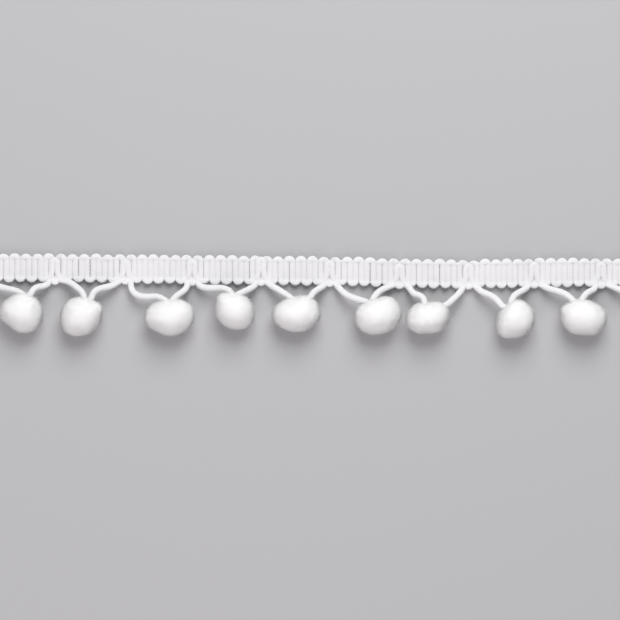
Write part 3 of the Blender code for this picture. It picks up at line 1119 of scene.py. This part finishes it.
@dataclass
class Pompom:
    """A fluffy ball of fine pile.

    Attributes:
        row: How the pompom lies.
        number: Its place in the trim, from 1.
        depth: Height of the whole ball, before it settles on the surface.
        sunk: How far the ball settles.
        core: Reach of the dense core, as a share of the pompom's reach.
        lump_depth: Depth of the core's lumps, as a share of its radius.
        lump_scale: How many lumps go round it.
        tuft_spread_deg: How far a tuft spreads to each side.
        fine_depth: Depth of the core's fine unevenness, as a share of its radius.
        fine_scale: How fine that is.
        lump_step: How far apart two pompoms' lumps are taken.
        clearance: How high the core stays above the surface.
        core_detail: How often the core's ball is divided.
    """

    row: PompomRow
    number: int
    depth: float = 10.4
    sunk: float = 0.7
    core: float = 0.962
    lump_depth: float = 0.03
    lump_scale: float = 1.9
    tuft_spread_deg: float = 16.0
    fine_depth: float = 0.012
    fine_scale: float = 7.0
    lump_step: float = 3.7
    clearance: float = 0.15
    core_detail: int = 4

    def reach(self, direction: Vector) -> float:
        """Gives how far the pile reaches towards a direction's side, seen from above.

        Args:
            direction: The direction from the pompom's middle.

        Returns:
            The reach.
        """
        around = math.atan2(direction.y, direction.x) % math.tau
        eighths = around / (math.tau / EIGHTHS)
        first = int(eighths)
        reaches = self.row.reaches
        near = [reaches[(first + step) % EIGHTHS] for step in (-1, 0, 1, 2)]
        reach = smooth_between(near, eighths - first)
        for degrees, height in self.row.tufts:
            apart = (around - math.radians(degrees) + math.pi) % math.tau - math.pi
            reach += height * math.exp(-((apart / math.radians(self.tuft_spread_deg)) ** 2))
        return reach

    def shape(self, bm: bmesh.types.BMesh) -> None:
        """Turns a ball of radius 1 into the pompom's core."""
        middle = Vector((self.row.x, self.row.y, self.depth / 2 - self.sunk))
        offset = Vector(((self.number - 1) * self.lump_step, SEED, 0))
        for vert in bm.verts:
            direction = vert.co.normalized()
            reach = self.reach(direction)
            lumps = self.lump_depth * noise.noise(direction * self.lump_scale + offset)
            fine = self.fine_depth * noise.noise(direction * self.fine_scale + offset)
            half = Vector((reach, reach, self.depth / 2))
            vert.co = middle + direction * half * self.core * (1 + lumps + fine)
            vert.co.z = max(self.clearance, vert.co.z)

    def build(self, pile: bpy.types.NodeTree, material: bpy.types.Material) -> bpy.types.Object:
        """Makes the core, covers it in pile and dresses it.

        Args:
            pile: The geometry nodes that set the pile.
            material: The pile's finish.

        Returns:
            The finished piece.
        """
        name = f"pompom_pile_{self.number:02d}"
        bm = bmesh.new()
        bmesh.ops.create_icosphere(bm, subdivisions=self.core_detail, radius=1.0)
        self.shape(bm)
        mesh = mesh_from(bm, name)
        mesh.shade_smooth()
        covered = grow_pile(mesh, pile, SEED + self.number)
        return finish_piece(name, covered, material, [f"pompom_{self.number:02d}"])


@dataclass(frozen=True)
class Strand:
    """One kind of pile fibre.

    Attributes:
        name: The strand's name.
        length: Its usual length.
        width: Its width at the root.
        bend: How far its tip leans over, as a share of its length.
        jointed: Whether it has a joint half way.
        per_square_mm: How many stand on a square millimetre.
        tilt_deg: How far they lean at most.
        shortest: The shortest, as a share of the usual length.
        longest: The longest, as a share of the usual length.
        flat: Whether they lie flat under the core, where it rests.
        flat_spread: How far the flat ones' leans differ, in radians.
        rooted: How much of it stands in the core, as a share of its length.
        joint_girth: Girth at the joint, as a share of a straight strand's there.
    """

    name: str
    length: float
    width: float
    bend: float
    jointed: bool
    per_square_mm: float
    tilt_deg: float
    shortest: float
    longest: float
    flat: bool = False
    flat_spread: float = 0.2
    rooted: float = 0.08
    joint_girth: float = 1.35

    def turns(self) -> tuple[tuple[float, float, float], tuple[float, float, float]]:
        """Gives the least and the greatest turns of a strand about its own axes."""
        lean = math.radians(self.tilt_deg)
        if self.flat:
            return (lean - self.flat_spread, 0.0, -math.pi), (lean, 0.0, math.pi)
        return (-lean, -lean, -math.pi), (lean, lean, math.pi)

    def mesh_object(self) -> bpy.types.Object:
        """Makes the strand as a slim three-sided cone, standing up from a little below the origin."""
        bm = bmesh.new()
        bmesh.ops.create_cone(
            bm, cap_ends=True, segments=3, radius1=self.width / 2, radius2=0.0, depth=self.length
        )
        bmesh.ops.translate(bm, vec=(0, 0, (0.5 - self.rooted) * self.length), verts=bm.verts)
        if self.jointed:
            sides = [edge for edge in bm.edges if len({vert.co.z for vert in edge.verts}) > 1]
            made = bmesh.ops.subdivide_edges(bm, edges=sides, cuts=1, use_grid_fill=False)
            joint = [item for item in made["geom_inner"] if isinstance(item, bmesh.types.BMVert)]
            bmesh.ops.scale(bm, vec=(self.joint_girth, self.joint_girth, 1), verts=joint)
        for vert in bm.verts:
            share = max(0.0, vert.co.z / self.length)
            vert.co.x += self.bend * self.length * share**2
        bmesh.ops.recalc_face_normals(bm, faces=bm.faces)
        return bpy.data.objects.new(self.name, mesh_from(bm, self.name))


POMPOM_STRANDS = (
    Strand("undercoat", 0.46, 0.077, 0.35, False, 43.0, 48.0, 0.6, 1.1),
    Strand("flat_pile", 0.6, 0.09, 0.1, False, 20.0, 86.0, 0.6, 1.1, flat=True),
    Strand("pile_end", 0.9, 0.065, 0.4, True, 5.7, 40.0, 0.6, 1.1),
    Strand("stray_hair", 2.0, 0.05, 0.5, True, 0.18, 50.0, 0.5, 1.1),
)


@dataclass(frozen=True)
class Pile:
    """Geometry nodes that stand strands on a core.

    Attributes:
        name: The node group's name.
        strands: The kinds of strand.
        softness: How far the strands are shaded like the core under them, from 0 to 1.
        resting_height: Height up to which the strands lie flat, as the core rests there.
    """

    name: str
    strands: Sequence[Strand]
    softness: float = 0.93
    resting_height: float = 0.4

    def nodes(self) -> bpy.types.NodeTree:
        """Builds the node group, with the core and a seed as its inputs."""
        tree = bpy.data.node_groups.new(self.name, "GeometryNodeTree")
        for label, way, kind in (
            ("Core", "INPUT", "NodeSocketGeometry"),
            ("Seed", "INPUT", "NodeSocketInt"),
            ("Pile", "OUTPUT", "NodeSocketGeometry"),
        ):
            tree.interface.new_socket(name=label, in_out=way, socket_type=kind)
        start = add_node(tree, "NodeGroupInput", {})
        facing = add_node(tree, "GeometryNodeInputNormal", {}).outputs["Normal"]
        core = self.store(tree, start.outputs["Core"], "core_facing", "FLOAT_VECTOR", facing)
        join = add_node(tree, "GeometryNodeJoinGeometry", {0: core})
        for strand in self.strands:
            tree.links.new(self.stand(tree, core, start.outputs["Seed"], strand), join.inputs[0])
        settled = self.keep_above_ground(tree, join.outputs[0])
        add_node(tree, "NodeGroupOutput", {"Pile": self.soften(tree, settled)})
        return tree

    def store(
        self,
        tree: bpy.types.NodeTree,
        geometry: bpy.types.NodeSocket,
        label: str,
        kind: str,
        value: bpy.types.NodeSocket,
    ) -> bpy.types.NodeSocket:
        """Keeps a value on a geometry's points.

        Args:
            tree: The node group.
            geometry: The geometry's socket.
            label: The attribute's name.
            kind: Its data type.
            value: The value's socket.

        Returns:
            The geometry with the attribute.
        """
        inputs = {"Name": label, "Geometry": geometry, "Value": value}
        settings = {"data_type": kind, "domain": "POINT"}
        return add_node(tree, "GeometryNodeStoreNamedAttribute", inputs, **settings).outputs["Geometry"]

    def random_value(
        self, tree: bpy.types.NodeTree, seed: bpy.types.NodeSocket, kind: str, low: object, high: object
    ) -> bpy.types.NodeSocket:
        """Adds a random value for each strand.

        Args:
            tree: The node group.
            seed: The seed's socket.
            kind: FLOAT or FLOAT_VECTOR.
            low: The least value.
            high: The greatest value.

        Returns:
            The value's socket.
        """
        in_space = kind == "FLOAT_VECTOR"
        first = 0 if in_space else 2
        inputs = {first: low, first + 1: high, "Seed": seed}
        node = add_node(tree, "FunctionNodeRandomValue", inputs, data_type=kind)
        return node.outputs[0 if in_space else 1]

    def height(self, tree: bpy.types.NodeTree) -> bpy.types.NodeSocket:
        """Reads how high a point is."""
        place = add_node(tree, "GeometryNodeInputPosition", {}).outputs[0]
        return add_node(tree, "ShaderNodeSeparateXYZ", {0: place}).outputs["Z"]

    def strand_source(self, tree: bpy.types.NodeTree, strand: Strand) -> bpy.types.NodeSocket:
        """Brings in a strand and keeps how far along it each of its points is.

        Args:
            tree: The node group.
            strand: The kind of strand.

        Returns:
            The strand's geometry.
        """
        source = add_node(tree, "GeometryNodeObjectInfo", {"Object": strand.mesh_object()})
        share = math_node(tree, "DIVIDE", self.height(tree), strand.length)
        return self.store(tree, source.outputs["Geometry"], "along", "FLOAT", share)

    def stand(
        self,
        tree: bpy.types.NodeTree,
        core: bpy.types.NodeSocket,
        seed: bpy.types.NodeSocket,
        strand: Strand,
    ) -> bpy.types.NodeSocket:
        """Stands one kind of strand on the core.

        Args:
            tree: The node group.
            core: The core's socket.
            seed: The seed's socket.
            strand: The kind of strand.

        Returns:
            The realized strands.
        """
        where = "LESS_THAN" if strand.flat else "GREATER_THAN"
        inputs = {
            "Mesh": core,
            "Density": strand.per_square_mm,
            "Seed": seed,
            "Selection": math_node(tree, where, self.height(tree), self.resting_height),
        }
        scatter = add_node(tree, "GeometryNodeDistributePointsOnFaces", inputs)
        tone = self.random_value(tree, seed, "FLOAT", 0.0, 1.0)
        turn = self.random_value(tree, seed, "FLOAT_VECTOR", *strand.turns())
        to_turn = add_node(tree, "FunctionNodeEulerToRotation", {0: turn})
        inputs = {0: scatter.outputs["Rotation"], 1: to_turn.outputs[0]}
        rotate = add_node(tree, "FunctionNodeRotateRotation", inputs, rotation_space="LOCAL")
        length = self.random_value(tree, seed, "FLOAT", strand.shortest, strand.longest)
        inputs = {
            "Points": self.store(tree, scatter.outputs["Points"], "strand_tone", "FLOAT", tone),
            "Instance": self.strand_source(tree, strand),
            "Rotation": rotate.outputs[0],
            "Scale": add_node(tree, "ShaderNodeCombineXYZ", {0: 1.0, 1: 1.0, 2: length}).outputs[0],
        }
        place = add_node(tree, "GeometryNodeInstanceOnPoints", inputs)
        return add_node(tree, "GeometryNodeRealizeInstances", {0: place.outputs[0]}).outputs[0]

    def keep_above_ground(
        self, tree: bpy.types.NodeTree, geometry: bpy.types.NodeSocket
    ) -> bpy.types.NodeSocket:
        """Flattens whatever would reach through the surface that the trim lies on.

        Args:
            tree: The node group.
            geometry: The pile.

        Returns:
            The pile, with nothing below the surface.
        """
        place = add_node(tree, "GeometryNodeInputPosition", {}).outputs[0]
        inputs = {0: place, 1: (-FAR_OFF, -FAR_OFF, 0.0)}
        lift = add_node(tree, "ShaderNodeVectorMath", inputs, operation="MAXIMUM")
        inputs = {"Geometry": geometry, "Position": lift.outputs[0]}
        return add_node(tree, "GeometryNodeSetPosition", inputs).outputs[0]

    def soften(
        self, tree: bpy.types.NodeTree, geometry: bpy.types.NodeSocket
    ) -> bpy.types.NodeSocket:
        """Turns the strands' normals towards those of the core, as light spreads in a dense pile.

        Args:
            tree: The node group.
            geometry: The pile.

        Returns:
            The pile with its new normals.
        """
        inputs = {"Name": "core_facing"}
        core = add_node(tree, "GeometryNodeInputNamedAttribute", inputs, data_type="FLOAT_VECTOR")
        start, end, result = VECTOR_MIX
        inputs = {
            "Factor": self.softness,
            start: add_node(tree, "GeometryNodeInputNormal", {}).outputs["Normal"],
            end: core.outputs["Attribute"],
        }
        mix = add_node(tree, "ShaderNodeMix", inputs, data_type="VECTOR")
        even = add_node(tree, "ShaderNodeVectorMath", {0: mix.outputs[result]}, operation="NORMALIZE")
        inputs = {"Mesh": geometry, "Custom Normal": even.outputs[0]}
        node = add_node(tree, "GeometryNodeSetMeshNormal", inputs, mode="FREE", domain="POINT")
        return node.outputs["Mesh"]


def grow_pile(core: bpy.types.Mesh, pile: bpy.types.NodeTree, seed: int) -> bpy.types.Mesh:
    """Covers a core in pile.

    Args:
        core: The core's mesh, which is used up.
        pile: The pile's node group.
        seed: Seed of this piece's strands.

    Returns:
        The core with its strands, as one mesh.
    """
    holder = add_object(core.name, core)
    modifier = holder.modifiers.new("pile", "NODES")
    modifier.node_group = pile
    seed_socket = next(s for s in pile.interface.items_tree if s.name == "Seed")
    modifier[seed_socket.identifier] = seed
    covered = evaluated_mesh(holder)
    bpy.data.meshes.remove(core)
    return covered


# The studio


@dataclass(frozen=True)
class Lamp:
    """A square soft light that faces the trim.

    Attributes:
        name: Its name.
        place: Where it hangs, in metres.
        size: Its width in metres.
        power: Its power in watts.
        colour: Its colour.
    """

    name: str
    place: tuple[float, float, float]
    size: float
    power: float
    colour: tuple[float, float, float]

    def hang(self) -> None:
        """Hangs the light in the scene."""
        data = bpy.data.lights.new(self.name, "AREA")
        data.size, data.energy, data.color = self.size, self.power, self.colour
        lamp = add_object(self.name, data)
        lamp.location = self.place
        lamp.rotation_euler = (-Vector(self.place)).to_track_quat("-Z", "Y").to_euler()


LAMPS = (
    Lamp("key_light", (0.07, 0.52, 0.56), 0.5, 5.7, (1.0, 0.995, 0.985)),
    Lamp("fill_light", (-0.2, -0.6, 0.5), 0.8, 3.8, (1.0, 0.93, 0.935)),
)


@dataclass
class Studio:
    """Pale surface, soft lights and the camera over the trim.

    Attributes:
        view_mm: Width of the photo's frame on the trim.
        middle: The frame's middle on the trim, in the tables' millimetres.
        lens: Focal length.
        sensor: Sensor width.
        level: Height at which the frame's width is measured.
        far_end: How far the camera sees, in metres.
        floor_mm: Width of the surface.
        floor_colour: Its colour.
        floor_roughness: How matt it is.
        sky_colour: Colour of the light from all round.
        sky_strength: Strength of that light.
    """

    view_mm: float = 173.6
    middle: tuple[float, float] = (-5.04, -4.1)
    lens: float = 180.0
    sensor: float = 36.0
    level: float = 2.0
    far_end: float = 100.0
    floor_mm: float = 1600.0
    floor_colour: tuple[float, float, float, float] = (0.42, 0.42, 0.43, 1.0)
    floor_roughness: float = 0.9
    sky_colour: tuple[float, float, float, float] = (0.95, 0.96, 1.0, 1.0)
    sky_strength: float = 0.36

    def floor(self) -> None:
        """Lays the pale surface under the trim."""
        bm = bmesh.new()
        bmesh.ops.create_grid(bm, x_segments=1, y_segments=1, size=self.floor_mm * MM / 2)
        mesh = mesh_from(bm, "floor")
        material = bpy.data.materials.new("pale_surface")
        material.use_nodes = True
        shader = material.node_tree.nodes["Principled BSDF"]
        shader.inputs["Base Color"].default_value = self.floor_colour
        shader.inputs["Roughness"].default_value = self.floor_roughness
        mesh.materials.append(material)
        add_object("floor", mesh)

    def camera(self) -> None:
        """Sets the camera straight above the trim."""
        data = bpy.data.cameras.new("camera")
        data.lens = self.lens
        data.sensor_width = self.sensor
        data.clip_end = self.far_end
        camera = add_object("camera", data)
        height = self.view_mm * self.lens / self.sensor + self.level
        camera.location = (Vector((*self.middle, height)) + TABLES_TO_FRAME) * MM
        bpy.context.scene.camera = camera

    def build(self) -> None:
        """Sets up the whole studio."""
        self.floor()
        self.camera()
        for lamp in LAMPS:
            lamp.hang()
        world = bpy.data.worlds.new("studio")
        world.use_nodes = True
        sky = world.node_tree.nodes["Background"]
        sky.inputs["Color"].default_value = self.sky_colour
        sky.inputs["Strength"].default_value = self.sky_strength
        bpy.context.scene.world = world
        bpy.context.scene.view_settings.view_transform = "Standard"


def main() -> None:
    """Builds the studio and the trim."""
    logging.basicConfig(level=logging.INFO)
    noise.seed_set(SEED)
    Studio().build()
    fibres, wraps = soft_fibres_group(), wrapped_yarn_group()
    heading = GimpHeading()
    gimp = YarnFinish(
        "gimp_yarn",
        light=(0.73, 0.725, 0.74),
        shade=(0.655, 0.65, 0.665),
        roughness=0.85,
        sheen=0.2,
        fibre_scale=2600.0,
        patch_scale=420.0,
        relief_mm=0.03,
        turns=heading.turns(),
        turn_mm=0.03,
        # Painted light: the lobes are coloured lighter than the runs
        zone=(0.735, 0.735, 0.745),
    )
    thread = YarnFinish(
        "ground_thread",
        light=(0.86, 0.86, 0.87),
        shade=(0.79, 0.79, 0.80),
        roughness=0.8,
        sheen=0.2,
        fibre_scale=3000.0,
        patch_scale=600.0,
        relief_mm=0.02,
    )
    drop = YarnFinish(
        "drop_yarn",
        light=(0.76, 0.76, 0.765),
        shade=(0.70, 0.70, 0.71),
        roughness=0.9,
        sheen=0.3,
        fibre_scale=8000.0,
        patch_scale=500.0,
        relief_mm=0.05,
        # Painted shade: the loop on the heading is darker than most of the hanging yarn
        zone=(0.70, 0.695, 0.71),
    )
    fluff = YarnFinish(
        "pompom_fluff",
        light=(1.0, 1.0, 1.0),
        shade=(0.97, 0.965, 0.965),
        roughness=1.0,
        sheen=0.05,
        fibre_scale=5000.0,
        patch_scale=500.0,
        relief_mm=0.06,
        pile=True,
    )
    heading.build(gimp.material(fibres, wraps))
    GroundThreads(heading).build(thread.material(fibres, wraps))
    DropCord(heading).build(drop.material(fibres, wraps))
    pile_tree = Pile("pompom_pile", POMPOM_STRANDS).nodes()
    pile_finish = fluff.material(fibres, wraps)
    for number, row in enumerate(POMPOM_ROWS, start=1):
        Pompom(row, number).build(pile_tree, pile_finish)


if __name__ == "__main__":
    main()
